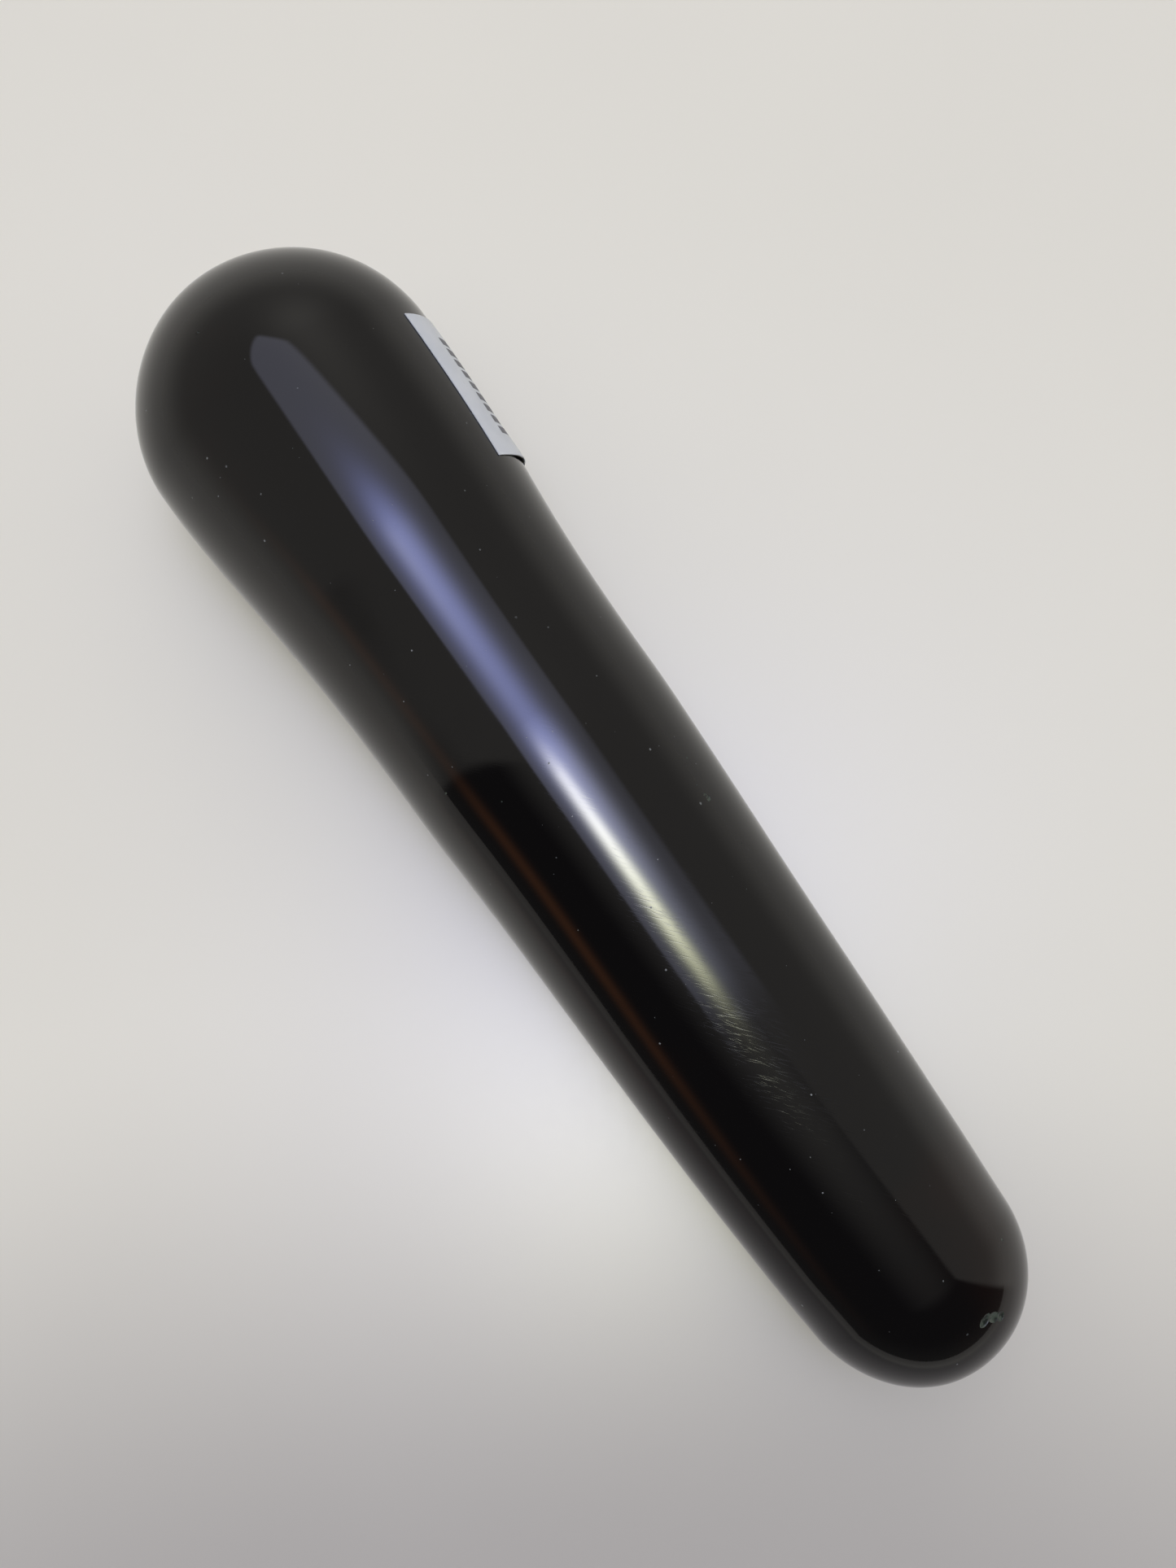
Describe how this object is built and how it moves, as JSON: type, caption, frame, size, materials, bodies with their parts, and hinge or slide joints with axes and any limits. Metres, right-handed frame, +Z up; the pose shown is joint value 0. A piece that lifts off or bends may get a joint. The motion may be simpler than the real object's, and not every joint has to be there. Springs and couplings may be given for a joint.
{
  "type": "stone massage wand",
  "caption": "Polished black stone hand wand, solid, slightly oval in section, with a thick rounded end, a slight waist, a taper to a narrow rounded end and a small paper label.",
  "frame": {"origin": "centre of the rectangle that the lying stone covers, on the plane that it rests on", "axes": "+X towards the narrow end, +Y towards the labelled flank, +Z up"},
  "size_m": [0.1378, 0.0337, 0.0304],
  "materials": {
    "stone": "polished to a deep gloss",
    "adhesive": "clear adhesive film",
    "paper": "semi-gloss label paper",
    "ink": "dark grey printer ink"
  },
  "bodies": {
    "root": {"stone_body": "stone", "label_adhesive": "adhesive", "label_paper": "paper", "label_print": "ink"}
  },
  "joints": []
}
